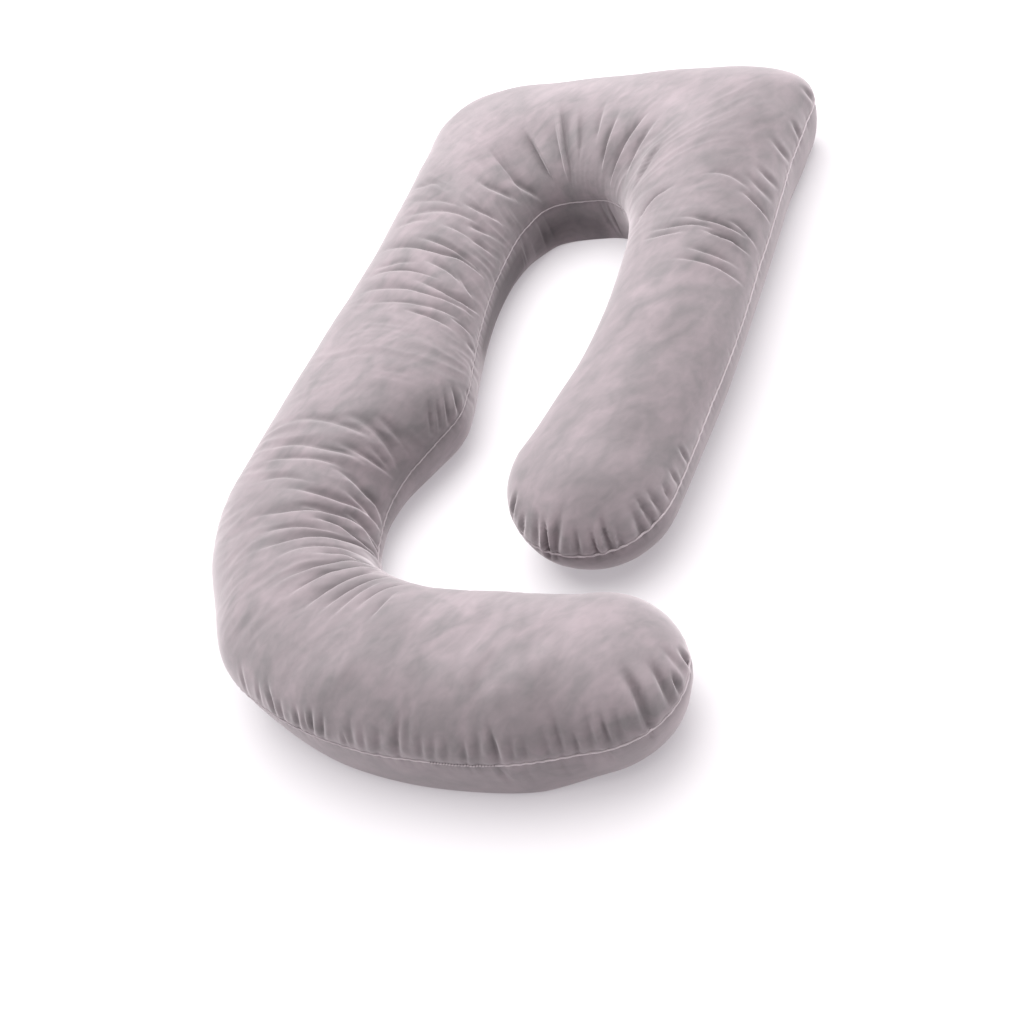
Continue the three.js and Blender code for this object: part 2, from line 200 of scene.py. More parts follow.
# Gathers: depth and width in millimetres, then pixels along the trough, from the rim seam inwards
GATHERS = [
    # Round end of the short arm
    (5, 7, (511, 525), (513, 508), (518, 488)),
    (4, 7, (521, 541), (522, 528), (525, 508)),
    (3, 8, (537, 549), (537, 526), (537, 500)),
    (11, 6, (549, 557), (547, 545), (545, 530), (543, 510)),
    (6, 9, (555, 557), (556, 540), (558, 522), (564, 494)),
    (4, 6, (579, 556), (577, 541), (574, 524)),
    (6, 5, (598, 557), (594, 544), (590, 524)),
    (11, 7, (613, 553), (608, 542), (604, 530), (600, 508)),
    (4, 8, (622, 549), (618, 538), (614, 518)),
    (6, 10, (644, 536), (638, 520), (629, 498)),
    (9, 7, (654, 524), (647, 513), (641, 503), (633, 490)),
    (4, 7, (662, 512), (653, 498), (644, 484)),
    (4, 6, (671, 498), (661, 480)),
    (3, 6, (679, 484), (668, 466)),
    (3, 6, (688, 462), (677, 443)),
    # Outer corner of the head
    (3, 10, (770, 198), (755, 181), (741, 164)),
    (3, 9, (776, 186), (765, 174), (755, 161)),
    (3, 9, (789, 160), (778, 146), (768, 131)),
    (3, 9, (802, 140), (796, 128), (789, 114)),
    (3, 9, (816, 104), (808, 94), (799, 84)),
    # Bulge of the long arm
    (6, 7, (432, 432), (431, 410), (429, 380)),
    (6, 7, (440, 428), (439, 406), (436, 378)),
    (6, 7, (449, 422), (447, 402), (443, 376)),
    (6, 7, (459, 413), (457, 398), (451, 378)),
    (3, 8, (471, 399), (465, 388)),
    (2, 8, (477, 378), (468, 364)),
    (2, 8, (475, 352), (464, 337)),
    # Outer seam of the hook
    (2, 6, (247, 692), (242, 674), (238, 656)),
    (2, 6, (262, 704), (259, 690), (257, 672)),
    (4, 6, (276, 714), (272, 702), (268, 688), (266, 672)),
    (2.5, 6, (284, 722), (281, 708), (280, 694)),
    (3.5, 6, (299, 729), (297, 716), (295, 700)),
    (2.5, 5, (308, 733), (305, 718), (303, 706)),
    (5, 6, (312, 734), (311, 720), (311, 702)),
    (3.5, 6, (322, 738), (322, 724), (323, 708)),
    (2.5, 5, (346, 746), (344, 738), (343, 728)),
    (2, 9, (352, 747), (350, 730), (348, 708)),
    (1.5, 7, (364, 750), (362, 736), (361, 720)),
    (2, 9, (377, 753), (378, 738), (376, 716)),
    (3.5, 8, (398, 757), (396, 742), (398, 724), (404, 700)),
    (1.5, 8, (406, 748), (407, 722), (409, 698)),
    (2, 7, (421, 759), (420, 745), (420, 728)),
    (1.5, 8, (432, 761), (433, 745), (434, 728)),
    (1.5, 8, (446, 763), (446, 748), (446, 730)),
    (2.5, 6, (466, 764), (464, 750), (462, 734)),
    (2, 9, (478, 764), (477, 742), (476, 714)),
    (6, 8, (498, 763), (494, 748), (490, 736), (484, 716)),
    (2, 7, (512, 763), (511, 748), (510, 728)),
    (2, 7, (526, 762), (524, 748), (521, 730)),
    (2, 9, (549, 760), (546, 744), (541, 722)),
    (3.5, 7, (562, 758), (558, 738), (554, 724), (547, 702)),
    (3.5, 6, (578, 755), (575, 742), (572, 726)),
    (2.5, 8, (592, 751), (590, 736), (587, 718), (584, 698)),
    (7, 7, (609, 745), (605, 732), (602, 722), (597, 704)),
    (3.5, 9, (621, 742), (616, 722), (610, 700)),
    (2.5, 8, (636, 735), (630, 720), (624, 704)),
    (12, 10, (648, 724), (643, 708), (636, 691), (628, 676), (616, 658)),
    (8, 10, (670, 701), (664, 685), (656, 670), (646, 654)),
    (7, 7, (679, 691), (674, 680), (667, 668)),
    (2, 9, (680, 668), (668, 653), (656, 641)),
    (5, 8, (692, 668), (685, 658), (675, 646)),
    # Below the hook's seam
    (6, 7, (498, 766), (502, 773), (508, 782)),
    (3, 7, (523, 766), (530, 778)),
    (3, 7, (560, 762), (568, 773)),
    (4, 6, (609, 748), (612, 762)),
    (4, 6, (650, 726), (652, 745)),
]

# Small puckers that the sewing machine leaves all along the rim seam, in millimetres
PUCKER_SEED = 11
PUCKER_SPACING = (9, 21)
PUCKER_DEPTH = (0.4, 1.4)
PUCKER_WIDTH = (3.5, 6)
PUCKER_REACH = (10, 30)
PUCKER_BELOW = 0.4  # share of the reach below the seam
SEAM_HELD = 0.85  # share of a gather's depth that the stitching takes away at the seam itself
SEAM_HELD_REACH = 4  # distance from the seam over which it does
SEAM_WANDER = 2.2  # how far the seam strays up and down
SEAM_WANDER_LENGTH = 130  # distance along the seam over which it strays
SEAM_WANDER_REACH = 36  # distance from the seam over which the cover follows

# Unevenness of the filling, in millimetres
LUMP_SIZE = 95
LUMP_HEIGHT = 2

# Faint folds between the others, as stations from and to and their height in millimetres
FAINT_FOLDS = [
    (3.2, 7.2, 0.7),  # head end of the short arm
    (7.2, 13, 0.4),  # head
    (13, 20.2, 1.3),  # long arm
    (20.2, 22, 0.6),  # its bulge
    (22, 28.8, 1.5),  # bend
    (28.8, 34, 0.6),  # hook
]
FAINT_BLEND = 0.5  # stations before and after an end of a row over which it comes and goes
FAINT_SPACING = 24  # along the arm
FAINT_LENGTH = 120  # across it
FAINT_BEND = 90  # distance over which they bend
FAINT_SWAY = 0.8  # how far they bend, in spacings
FAINT_RISE = (0.15, 0.4)  # shares of the way over the top, from the outer rim, between which they rise
FAINT_FALL = (0.85, 1)  # and between which they fade out again

# Patches and strokes of lighter or darker colour, partly where the nap was brushed another way and partly
# painted shade and painted light: how much lighter or darker, from -1 to 1, the radius in millimetres, and
# the pixel at the middle or the pixels along the stroke
NAP_AND_PAINTED_SHADING_PATCHES = [
    # Inner wall of the head and inner side of the long arm: painted shade, where these sides lie in shade
    # inside the curve
    (-0.8, 34, (545, 236), (575, 224), (596, 226)),
    (-0.9, 40, (516, 262), (503, 290), (492, 318), (484, 340)),
    (-0.5, 24, (522, 266), (507, 293), (495, 321), (486, 343)),
    # Crown of the head: painted light and painted shade, partly nap marks
    (-0.26, 44, (505, 150), (530, 135), (565, 125)),
    (0.3, 30, (588, 176), (606, 190)),
    (0.2, 36, (450, 150), (480, 112), (540, 96), (640, 88), (690, 120)),
    # Shoulder and side of the short arm: nap marks, with painted shade on its shoulder and side and painted
    # light on the front of its round end
    (-0.15, 22, (616, 194), (624, 212), (628, 234)),
    (-0.4, 70, (735, 150)),
    (-0.1, 60, (760, 90)),
    (-0.24, 40, (757, 118)),
    (-0.22, 40, (724, 194)),
    (-0.14, 50, (655, 330)),
    (-0.24, 42, (695, 265), (682, 320), (660, 370), (630, 430)),
    (-0.18, 40, (590, 490), (625, 470)),
    (-0.22, 60, (730, 230)),
    (-0.1, 60, (650, 420)),
    (0.25, 22, (697, 430), (684, 462), (668, 488)),
    (0.28, 24, (530, 508), (568, 522), (608, 522), (642, 506)),
    (0.08, 40, (545, 480)),
    (0.55, 22, (528, 532), (548, 542), (580, 546), (612, 540), (638, 524)),
    # Inside of the bend, where the folds run together: painted shade over the bright spot where they meet,
    # and painted light and shade round it
    (-0.4, 30, (376, 562)),
    (0.45, 34, (356, 500), (368, 524)),
    (0.14, 60, (320, 450)),
    (-0.28, 60, (402, 382)),
    # Lower panel, inside of the long arm and front of the hook: painted light on these lower sides
    (0.4, 30, (400, 490), (420, 468), (440, 447), (456, 426)),
    (0.35, 40, (620, 758), (660, 738), (690, 712)),
    # Crown of the hook: nap streaks, with painted shade over its front and painted light on its top and tip
    (0.22, 14, (488, 690), (504, 673), (522, 663), (545, 646)),
    (-0.28, 10, (471, 684), (478, 668), (491, 654)),
    (0.14, 22, (440, 664), (466, 648), (494, 628)),
    (-0.16, 16, (390, 630), (404, 620)),
    (-0.14, 20, (535, 670), (550, 664)),
    (-0.1, 26, (505, 702), (535, 700)),
    (-0.12, 12, (482, 608), (487, 626)),
    (-0.2, 14, (322, 702), (335, 688), (348, 675)),
    (0.15, 12, (333, 667), (350, 655), (364, 646)),
    (0.1, 60, (590, 625)),
    (0.05, 80, (500, 635)),
    (-0.28, 46, (360, 680), (420, 700), (480, 708), (540, 702)),
    (0.1, 30, (440, 602), (500, 604), (560, 606)),
    (-0.08, 50, (370, 640), (430, 650)),
    (0.12, 34, (250, 680), (290, 708)),
    (0.14, 36, (625, 715), (655, 695)),
    (0.05, 55, (672, 655)),
    (-0.08, 80, (300, 620)),
]
CREASE_PAINTED_SHADE = 0.12  # painted shade: how much darker the colour is made in a crease, for a millimetre of depth
RIDGE_PAINTED_HIGHLIGHT = 0.03  # painted highlight: how much lighter it is made on a ridge, for a millimetre of height
PAINTED_FOLD_SHADE_MOST = 0.5  # the most that the painted shade of a crease or the painted highlight of a ridge changes it

# Where folds run together their heights grow to no more than this, in millimetres
RIDGE_HIGHEST = 5
CREASE_DEEPEST = 12


def linear(hex_colour):
    """An sRGB hex colour as linear red, green, blue and alpha."""
    shares = [int(hex_colour[i:i + 2], 16) / 255 for i in (1, 3, 5)]
    return tuple(c / 12.92 if c <= 0.04045 else ((c + 0.055) / 1.055) ** 2.4 for c in shares) + (1.0,)


def ease(value, start, end):
    """A smooth step from 0 at start to 1 at end."""
    share = np.clip((value - start) / (end - start), 0, 1)
    return share * share * (3 - 2 * share)


def bell(value, width):
    return np.exp(-(value / width) ** 2)


# The filled form

def curve_through(knots, stations):
    """A centripetal curve through the knots, one knot to a station."""
    row = np.vstack([2 * knots[0] - knots[1], knots, 2 * knots[-1] - knots[-2]])
    span = np.clip(np.floor(stations).astype(int), 0, len(knots) - 2)
    way = (stations - span)[:, None]
    before, start, end, after = (row[span + k] for k in range(4))
    step0, step1, step2 = (
        np.sqrt(np.linalg.norm(b - a, axis=1, keepdims=True))
        for a, b in ((before, start), (start, end), (end, after))
    )
    leave = (start - before) / step0 - (end - before) / (step0 + step1) + (end - start) / step1
    arrive = (end - start) / step1 - (after - start) / (step1 + step2) + (after - end) / step2
    leave, arrive = leave * step1, arrive * step1
    bend2 = 3 * (end - start) - 2 * leave - arrive
    bend3 = 2 * (start - end) + leave + arrive
    return start + way * (leave + way * (bend2 + way * bend3))


def sections_at(stations):
    """The sections at these stations: the middle, the half width towards the outer rim and the crown's
    height; for the inner and the outer side the seam's height and the share of the half width that lies
    on the floor."""
    outer = curve_through(SECTIONS[:, 0:3], stations)
    inner = curve_through(SECTIONS[:, 3:6], stations)
    crown, outer_foot, inner_foot = curve_through(SECTIONS[:, 6:9], stations).T
    across = (outer[:, :2] - inner[:, :2]) / 2
    half = np.linalg.norm(across, axis=1)
    return {
        "middle": (outer[:, :2] + inner[:, :2]) / 2, "across": across, "crown": crown,
        "seams": (inner[:, 2], outer[:, 2]), "flats": (1 - inner_foot / half, 1 - outer_foot / half),
    }


def even_stations():
    """Stations at even steps along the middle line."""
    samples = np.linspace(0, LAST, LINE_SAMPLES + 1)
    middle = sections_at(samples)["middle"]
    lengths = np.append(0, np.cumsum(np.linalg.norm(np.diff(middle, axis=0), axis=1)))
    count = round(lengths[-1] / RING_STEP)
    return np.interp(np.linspace(0, lengths[-1], count + 1), lengths, samples)


def cover_rings():
    """Rings of the whole pillow: the arm's round end, the body and the hook's round end."""
    body = even_stations()
    end_steps = np.sin(np.pi / 2 * np.arange(1, TIP_RINGS) / TIP_RINGS)
    stations = np.concatenate([np.zeros(TIP_RINGS - 1), body, np.full(TIP_RINGS - 1, float(LAST))])
    tips = np.concatenate([end_steps[::-1], np.zeros(len(body)), end_steps])
    reach = np.concatenate([
        np.full(TIP_RINGS - 1, -ARM_TIP), np.zeros(len(body)), np.full(TIP_RINGS - 1, HOOK_TIP),
    ])
    rings = sections_at(stations)
    across = rings["across"]
    aside = np.stack([-across[:, 1], across[:, 0]], axis=1)
    along = aside / np.linalg.norm(aside, axis=1, keepdims=True) * reach[:, None]
    return {**rings, "station": stations, "along": along, "tip": tips}


def ring_places():
    """Places round a ring, from the outer rim over the crown to the inner rim and back underneath:
    whether each is on top, its side, and its distance from the middle as a share."""
    from_rim = np.linspace(0, 1, CROWN_STEPS // 2 + 1)
    crowded = (1 - RIM_CROWDING) * from_rim + RIM_CROWDING * from_rim ** CROWDING_POWER
    quarter = np.cos(np.pi / 2 * crowded) ** (2 / FULLNESS)
    under = np.sin(np.pi / 2 * np.arange(SIDE_STEPS) / SIDE_STEPS) ** (2 / UNDER_FULLNESS)
    half_top, half_under = np.ones(CROWN_STEPS // 2), np.ones(SIDE_STEPS)
    lean = np.concatenate([quarter, quarter[-2::-1], under[::-1], [0], under])
    side = np.concatenate([half_top, [0], -half_top, -half_under, [0], half_under])
    top = np.arange(len(lean)) <= CROWN_STEPS
    return top, side, lean


def across_section(sides, place):
    """A value between those of the inner and the outer side, by the place across from -1 to 1."""
    inner, outer = (side[:, None] for side in sides)
    return inner + (outer - inner) * (1 + place) / 2


def filled_form(rings):
    """The smooth filled form: its points, a row for each ring, with the seam's level at each of them,
    and the two end points with theirs, in metres."""
    top, side, lean = ring_places()
    tip = rings["tip"][:, None]
    crown = rings["crown"][:, None]

    inner_flat, outer_flat = (share[:, None] for share in rings["flats"])
    flat = np.where(side < 0, inner_flat, outer_flat)
    place = side * np.where(top, lean, flat + (1 - flat) * lean)
    flat = np.where(tip > 0, across_section(rings["flats"], place), flat)
    flat = flat + (TIP_FLAT - flat) * tip
    seam = across_section(rings["seams"], place)

    narrow = (1 - tip ** TIP_FULLNESS) ** (1 / TIP_FULLNESS)
    wide = np.abs(place) * narrow
    share = np.minimum(1, (tip ** TIP_FULLNESS + wide ** TIP_FULLNESS) ** (1 / TIP_FULLNESS))
    crown_share = (1 - share ** FULLNESS) ** (1 / FULLNESS)
    rise = np.maximum(0, share - flat) / (1 - flat)
    under_share = 1 - (1 - rise ** UNDER_FULLNESS) ** (1 / UNDER_FULLNESS)
    height = np.where(top, seam + (crown - seam) * crown_share, seam * under_share)

    sideways = rings["across"][:, None, :] * (place * narrow)[..., None]
    out = sideways + rings["along"][:, None, :] * tip[..., None]
    size = np.maximum(np.linalg.norm(out, axis=2), SEAM_DRAW)
    near = bell(height - seam, SEAM_REACH)
    draw = np.where(top, SEAM_DRAW * near, LOWER_DRAW + (SEAM_DRAW - LOWER_DRAW) * near)
    out *= (1 - draw / size)[..., None]
    plan = rings["middle"][:, None, :] + out - BOX_MIDDLE

    ends = rings["middle"][[0, -1]] + rings["along"][[0, -1]] * (1 - SEAM_DRAW / ARM_TIP) - BOX_MIDDLE
    end_level = np.mean(rings["seams"], axis=0)[[0, -1]]
    points = np.vstack([np.dstack([plan, height]).reshape(-1, 3), np.column_stack([ends, end_level])])
    return points * MM, np.append(seam.ravel(), end_level) * MM


def cover_faces(rings, places):
    """Quads between the rings, and a fan of triangles on each round end."""
    ring, place = np.meshgrid(np.arange(rings - 1), np.arange(places), indexing="ij")
    following = (place + 1) % places
    quads = np.stack([
        ring * places + place, (ring + 1) * places + place,
        (ring + 1) * places + following, ring * places + following,
    ], axis=-1).reshape(-1, 4)
    here = np.arange(places)
    there = (here + 1) % places
    last = (rings - 1) * places
    arm_end, hook_end = (np.full(places, rings * places + end) for end in range(2))
    arm_fan = np.stack([arm_end, here, there], axis=1)
    hook_fan = np.stack([hook_end, last + there, last + here], axis=1)
    return quads, np.vstack([arm_fan, hook_fan])


def split_along_folds(quads, height):
    """Two triangles for each quad, split where the heights differ least, which is along a fold."""
    a, b, c, d = quads.T
    first = np.abs(height[a] - height[c]) <= np.abs(height[b] - height[d])
    one = np.where(first, [a, b, c], [a, b, d])
    two = np.where(first, [a, c, d], [b, c, d])
    return np.hstack([one, two]).T


def seam_loop(rings, places):
    """Vertices of the rim seam in order: from the arm's end along the outer rim to the hook's end
    and back along the inner rim."""
    outer = np.arange(rings) * places
    inner = outer[::-1] + CROWN_STEPS
    arm_end, hook_end = rings * places, rings * places + 1
    return np.concatenate([[arm_end], outer, [hook_end], inner])


# Folds on the filled form

def camera_axes():
    """The camera's right, up and view directions."""
    ahead = Vector((-math.sin(CAMERA_HEADING), math.cos(CAMERA_HEADING), 0))
    right = Vector((ahead.y, -ahead.x, 0))
    view = ahead * math.cos(CAMERA_PITCH) - Vector((0, 0, math.sin(CAMERA_PITCH)))
    down = view.cross(right)
    image_right = right * math.cos(CAMERA_ROLL) + down * math.sin(CAMERA_ROLL)
    image_down = down * math.cos(CAMERA_ROLL) - right * math.sin(CAMERA_ROLL)
    return image_right, -image_down, view


def on_cover(tree, pixel):
    """The point of the cover that shows at a pixel, the way out of it there, and its face."""
    right, up, view = camera_axes()
    across, below = ((p - IMAGE / 2) / FOCAL for p in pixel)
    hit, normal, face, _ = tree.ray_cast(CAMERA_PLACE, (view + right * across - up * below).normalized())
    return hit, normal, face


LINE_STEPS = 8  # points on a fold's line for each of its pixels


def line_on_cover(tree, pixels):
    """Points of the cover under a curve through pixels, and the ways out of it there."""
    stations = np.linspace(0, len(pixels) - 1, LINE_STEPS * (len(pixels) - 1) + 1)
    hits = [on_cover(tree, pixel) for pixel in curve_through(np.array(pixels, float), stations)]
    found = [(tuple(hit), tuple(normal)) for hit, normal, _ in hits if hit is not None]
    return np.array([hit for hit, _ in found]), np.array([normal for _, normal in found])


def beside_line(points, line, outward):
    """For each point: how far along the line it lies, 0 to 1, and how far to the left of it."""
    best = np.full(len(points), np.inf)
    along = np.zeros(len(points))
    left = np.zeros(len(points))
    for i in range(len(line) - 1):
        way = line[i + 1] - line[i]
        span = np.linalg.norm(way)
        share = np.clip((points - line[i]) @ way / span ** 2, 0, 1)
        offset = points - line[i] - share[:, None] * way
        distance = np.linalg.norm(offset, axis=1)
        aside = np.cross(outward[i], way / span)
        nearer = distance < best
        best = np.where(nearer, distance, best)
        along = np.where(nearer, (i + share) / (len(line) - 1), along)
        left = np.where(nearer, np.sign(offset @ aside) * distance, left)
    return along, left


NEAR = 4  # widths round a fold within which it shows


def add_fold(total, points, line, outward, width, profile):
    """Adds a fold to the total height of the points near its line."""
    reach = NEAR * abs(width) * MM
    near = np.all((points > line.min(0) - reach) & (points < line.max(0) + reach), axis=1)
    along, left = beside_line(points[near], line, outward)
    total[near] += profile(along, left / (width * MM)) * MM


# Section across a draped fold, in widths to the left of its crest
FOLD_NARROWING = 0.4  # share of its width that it loses on the way to the gathered end
CREASE_PLACE = 0.45  # bottom of the crease behind the crest
CREASE_BACK = 0.8  # over which the cloth behind sinks into the crease
CREASE_FRONT = 0.32  # over which it rises out of it
RIDGE_BACK = 0.35  # over which the ridge drops towards the crease
RIDGE_FRONT = 1.3  # over which it slopes away in front
CREASE_SHARE = 1.4  # depth of the crease, as a share of the fold's height
RIDGE_SHARE = 0.5  # height of the ridge, as the same share
FOLD_RISE = 0.5  # share of its length over which it rises from the free end
FOLD_SINK = 0.8  # where along it the sewing begins to hold it down
FOLD_HELD = 0.7  # share of its height that the sewing takes away


def draped_fold(height):
    """A full ridge lapped over the next: the cloth behind sinks slowly into a crease on the left of the
    line and rises steeply out of it onto the ridge. It fades in from its free end and narrows to the
    gathered one."""
    def profile(along, left):
        left = left / (1 - FOLD_NARROWING * along)
        past = left - CREASE_PLACE
        crease = np.where(past > 0, np.exp(-np.abs(past) / CREASE_BACK), bell(past, CREASE_FRONT))
        ridge = np.where(left > 0, bell(left, RIDGE_BACK), bell(left, RIDGE_FRONT))
        fade = ease(along, 0, FOLD_RISE) * (1 - FOLD_HELD * ease(along, FOLD_SINK, 1))
        return height * fade * (RIDGE_SHARE * ridge - CREASE_SHARE * crease)
    return profile


# Section across a gather, in widths from its trough
TROUGH_WIDTH = 0.65
SIDE_PLACE = 1.3  # ridges on either side of the trough
SIDE_WIDTH = 0.8
TROUGH_SHARE = 1.2  # depth of the trough, as a share of the gather's depth
SIDE_SHARE = 0.4  # height of the ridges, as the same share
GATHER_AT_SEAM = 0.4  # share of its depth that it has at the seam
GATHER_DEEPEST = 0.3  # where along it the gather is deepest


def gathered_fold(depth):
    """A soft trough between two full ridges, deepest a little way in from the seam."""
    def profile(along, left):
        ridges = bell(left + SIDE_PLACE, SIDE_WIDTH) + bell(left - SIDE_PLACE, SIDE_WIDTH)
        rise = GATHER_AT_SEAM + (1 - GATHER_AT_SEAM) * ease(along, 0, GATHER_DEEPEST)
        fade = rise * (1 - ease(along, GATHER_DEEPEST, 1))
        return depth * fade * (SIDE_SHARE * ridges - TROUGH_SHARE * bell(left, TROUGH_WIDTH))
    return profile


def placed_folds(points, tree):
    """Height of the folds that show in the photograph, in metres."""
    total = np.zeros(len(points))
    for height, width, *pixels in FOLDS:
        add_fold(total, points, *line_on_cover(tree, pixels), width, draped_fold(height))
    for depth, width, *pixels in GATHERS:
        add_fold(total, points, *line_on_cover(tree, pixels), width, gathered_fold(depth))
    return total


def beside_seam(points, seam):
    """For each point: how far round the seam its nearest place is, and how far away, in millimetres."""
    loop = points[seam]
    steps = np.linalg.norm(np.diff(loop, axis=0), axis=1)
    round_seam = np.append(0, np.cumsum(steps))
    tree = kdtree.KDTree(len(loop))
    for i, point in enumerate(loop):
        tree.insert(point, i)
    tree.balance()
    found = [tree.find(point) for point in points]
    nearest = np.array([i for _, i, _ in found])
    distance = np.array([d for _, _, d in found])
    ahead = np.roll(loop, -1, axis=0) - np.roll(loop, 1, axis=0)
    ahead /= np.linalg.norm(ahead, axis=1, keepdims=True)
    slide = np.einsum("ij,ij->i", points - loop[nearest], ahead[nearest])
    return (round_seam[nearest] + slide) / MM, distance / MM


def seam_puckers(round_seam, from_seam, above, length):
    """Height of the small puckers along the rim seam, in metres."""
    random = np.random.default_rng(PUCKER_SEED)
    total = np.zeros(len(round_seam))
    near = from_seam < PUCKER_REACH[1]
    along, away, up = round_seam[near], from_seam[near], above[near]
    place = 0.0
    while place < length:
        depth, width, reach = (random.uniform(*span) for span in (PUCKER_DEPTH, PUCKER_WIDTH, PUCKER_REACH))
        fade = np.clip(1 - away / np.where(up, reach, reach * PUCKER_BELOW), 0, 1)
        total[near] -= depth * fade * bell(along - place, width) * MM
        place += random.uniform(*PUCKER_SPACING)
    return total


def uneven(places, size):
    """Smooth noise between about -1 and 1 that varies over that size."""
    return np.array([noise.noise(Vector(place)) for place in places / size])


def faint_folds(rings, points):
    """Height of the faint folds that lie between the others across the arms, in metres."""
    count = len(rings["tip"])
    form = points[:-2].reshape(count, -1, 3)
    places = form.shape[1]
    middle = rings["middle"] + rings["along"] * rings["tip"][:, None]
    run = np.append(0, np.cumsum(np.linalg.norm(np.diff(middle, axis=0), axis=1)))
    top = slice(0, CROWN_STEPS + 1)
    across = np.zeros((count, CROWN_STEPS + 1))
    across[:, 1:] = np.cumsum(np.linalg.norm(np.diff(form[:, top], axis=1), axis=2), axis=1) / MM
    sway = uneven(form[:, top].reshape(-1, 3), FAINT_BEND * MM).reshape(across.shape) * FAINT_SWAY
    spots = np.stack([
        run[:, None] / FAINT_SPACING + sway, across / FAINT_LENGTH, np.zeros(across.shape),
    ], axis=-1).reshape(-1, 3)
    sharp = 1 - 2 * np.abs(uneven(spots, 1)).reshape(across.shape)
    station = rings["station"]
    strength = np.zeros(count)
    for start, end, height in FAINT_FOLDS:
        begun, ended = (ease(station, edge - FAINT_BLEND, edge + FAINT_BLEND) for edge in (start, end))
        strength = np.maximum(strength, height * (begun * (1 - ended)))
    over = np.linspace(0, 1, CROWN_STEPS + 1)
    inside = ease(over, *FAINT_RISE) * (1 - ease(over, *FAINT_FALL))
    total = np.zeros((count, places))
    total[:, top] = (sharp - 1) * strength[:, None] * inside * MM
    return np.append(total.ravel(), [0, 0])


def limited(height):
    """The heights where folds run together, held to what the cloth can rise and sink."""
    most = np.where(height > 0, RIDGE_HIGHEST, CREASE_DEEPEST) * MM
    return most * np.tanh(height / most)


def smoothed_across(height, tips):
    """The heights evened out between neighbours on each ring, so that slanting folds show no steps.
    The round ends have finer steps and stay as they are."""
    rows = height[:-2].reshape(len(tips), -1)
    even = (np.roll(rows, 1, axis=1) + 2 * rows + np.roll(rows, -1, axis=1)) / 4
    return np.append(np.where(tips[:, None] > 0, rows, even).ravel(), height[-2:])


def brushed_and_painted_patches(points, tree, above, lower):
    """How much lighter or darker each point is made, partly where the nap was brushed another way and
    partly by painted shade and painted light.
    A patch keeps to the panel on which it lies."""
    total = np.zeros(len(points))
    for shade, radius, *pixels in NAP_AND_PAINTED_SHADING_PATCHES:
        middle, _, face = on_cover(tree, pixels[0])
        if len(pixels) > 1:
            away = np.abs(beside_line(points, *line_on_cover(tree, pixels))[1])
        else:
            away = np.linalg.norm(points - np.array(middle), axis=1)
        total += np.where(above != lower[face], shade * bell(away, radius * MM), 0)
    return total


def mesh_object(name, points, faces):
    mesh = bpy.data.meshes.new(name)
    mesh.from_pydata(np.asarray(points).tolist(), [], faces)
    mesh.shade_smooth()
    piece = bpy.data.objects.new(name, mesh)
    bpy.context.scene.collection.objects.link(piece)
    return piece


def lay_nap_and_shade(piece, nap_and_painted_shade):
    """Sets how much lighter or darker a piece is made at each of its points, from -1 for dark to 1 for
    light: the lie of its nap together with painted shade and painted light.
    """
    piece.data.attributes.new("nap_and_painted_shade", "FLOAT", "POINT").data.foreach_set("value", nap_and_painted_shade)


def vertex_normals(mesh):
    normals = np.empty(len(mesh.vertices) * 3)
    mesh.vertex_normals.foreach_get("vector", normals)
    return normals.reshape(-1, 3)


def velvet_cover():
    """The filled cover with its folds, one closed surface, with the points of its rim seam and the ways
    out of it there."""
    rings = cover_rings()
    points, level = filled_form(rings)
    top = ring_places()[0]
    count, places = len(rings["tip"]), len(top)
    quads, fans = cover_faces(count, places)
    seam = seam_loop(count, places)
    smooth = mesh_object("smooth_form", points, quads.tolist() + fans.tolist())
    normals = vertex_normals(smooth.data)
    tree = BVHTree.FromPolygons(points.tolist(), quads.tolist() + fans.tolist())
    bpy.data.meshes.remove(smooth.data)

    above = np.append(np.tile(top, count), [True, True])  # points of the top panel
    lower = np.tile(np.arange(places) >= CROWN_STEPS, count + 1)  # faces of the lower panel
    height = smoothed_across(limited(placed_folds(points, tree)), rings["tip"]) + faint_folds(rings, points)
    # Painted shade in the creases and a painted highlight on the ridges, laid into the same attribute as
    # the nap patches
    fold_shade_and_highlight = np.where(height < 0, CREASE_PAINTED_SHADE, RIDGE_PAINTED_HIGHLIGHT) * height / MM
    fold_shade_and_highlight = np.clip(fold_shade_and_highlight, -PAINTED_FOLD_SHADE_MOST, PAINTED_FOLD_SHADE_MOST)
    nap_and_painted_shade = np.clip(brushed_and_painted_patches(points, tree, above, lower) + fold_shade_and_highlight, -1, 1)

    round_seam, from_seam = beside_seam(points, seam)
    height *= 1 - SEAM_HELD * bell(from_seam, SEAM_HELD_REACH)
    height += uneven(points, LUMP_SIZE * MM) * LUMP_HEIGHT * MM
    height += seam_puckers(round_seam, from_seam, above, round_seam.max())
    held = ease(points[:, 2] / level, 0, 1)
    wander = uneven(points[seam], SEAM_WANDER_LENGTH * MM) * SEAM_WANDER * MM
    nearest = np.clip(np.searchsorted(round_seam[seam], round_seam), 0, len(seam) - 1)
    points += normals * (height * held)[:, None]
    points[:, 2] += wander[nearest] * bell(from_seam, SEAM_WANDER_REACH) * held
    points[:, 2] = np.maximum(points[:, 2], 0)

    cover = mesh_object("velvet_cover", points, split_along_folds(quads, height).tolist() + fans.tolist())
    lay_nap_and_shade(cover, nap_and_painted_shade)
    return cover, points[seam], vertex_normals(cover.data)[seam]


# Sewing, with its sizes in millimetres

